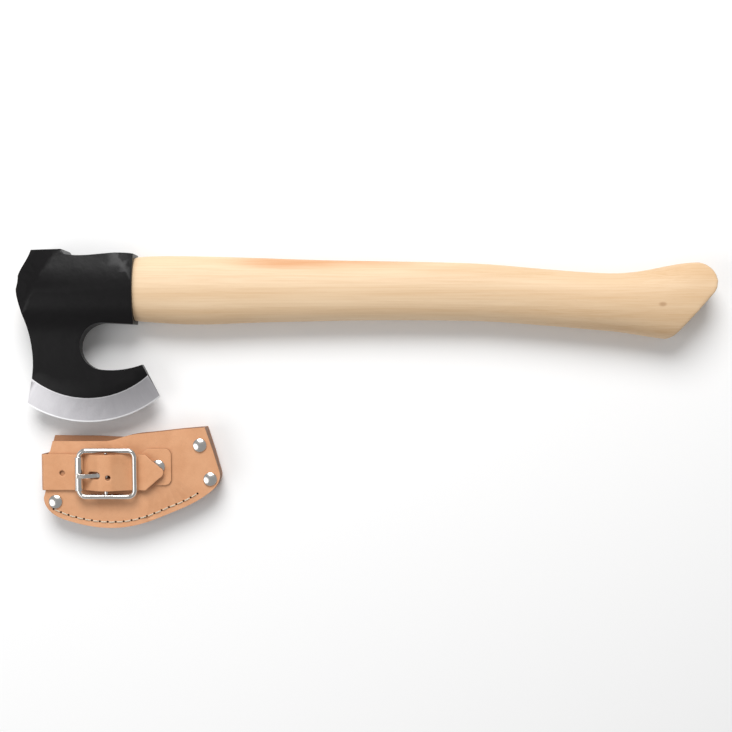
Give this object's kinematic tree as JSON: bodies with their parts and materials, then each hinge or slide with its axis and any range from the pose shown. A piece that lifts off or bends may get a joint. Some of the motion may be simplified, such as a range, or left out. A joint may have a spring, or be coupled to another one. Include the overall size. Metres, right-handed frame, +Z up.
{
  "type": "hatchet",
  "caption": "Forestry hatchet with bearded blade and wooden handle, lying beside its riveted leather blade cover with buckled strap.",
  "frame": {"origin": "centre of the floor footprint of hatchet and cover together", "axes": "+X from the head to the knob, +Y from the cutting edge to the poll, +Z up from the surface they lie on"},
  "size_m": [0.4876, 0.1949, 0.033],
  "materials": {
    "black_steel": "satin black paint over forged steel, ground bevel bare",
    "birch": "oiled",
    "wedge_wood": "raw",
    "bare_steel": "ground",
    "natural_leather": "vegetable tanned, undyed",
    "welt_leather": "raw cut edges",
    "nickel": "polished nickel plate",
    "cream_thread": "waxed thread"
  },
  "bodies": {
    "hatchet": {"axe_head": "black_steel", "handle": "birch", "eye_wedge": "wedge_wood", "cross_wedge": "bare_steel"},
    "cover": {"front_panel": "natural_leather", "back_panel": "natural_leather", "welt": "welt_leather", "strap": "natural_leather", "buckle_tab": "natural_leather", "corner_caps": "nickel", "corner_posts": "nickel", "tab_rivet_cap": "nickel", "tab_rivet_post": "nickel", "strap_rivet_cap": "nickel", "strap_rivet_post": "nickel", "thread_front": "cream_thread", "thread_back": "cream_thread"},
    "buckle": {"buckle_frame": "nickel", "centre_bar": "nickel"},
    "roller": {"roller": "nickel"},
    "tongue": {"tongue": "nickel"}
  },
  "joints": [
    {"name": "cover_slide", "type": "slide", "parent": "hatchet", "child": "cover", "axis": [-0.3857, 0.9197, 0.0732], "range_m": [0, 0.06472]},
    {"name": "buckle_rock", "type": "hinge", "parent": "cover", "child": "buckle", "pos_m": [-0.18095, -0.05869, 0.02531], "axis": [0, 0.9969, 0.0787], "range_deg": [-1, 1]},
    {"name": "roller_spin", "type": "hinge", "parent": "buckle", "child": "roller", "pos_m": [-0.1997, -0.05869, 0.02531], "axis": [0, 0.9969, 0.0787], "continuous": true},
    {"name": "tongue_lift", "type": "hinge", "parent": "buckle", "child": "tongue", "pos_m": [-0.18095, -0.05869, 0.02531], "axis": [0, 0.9969, 0.0787], "range_deg": [0, 3]}
  ]
}
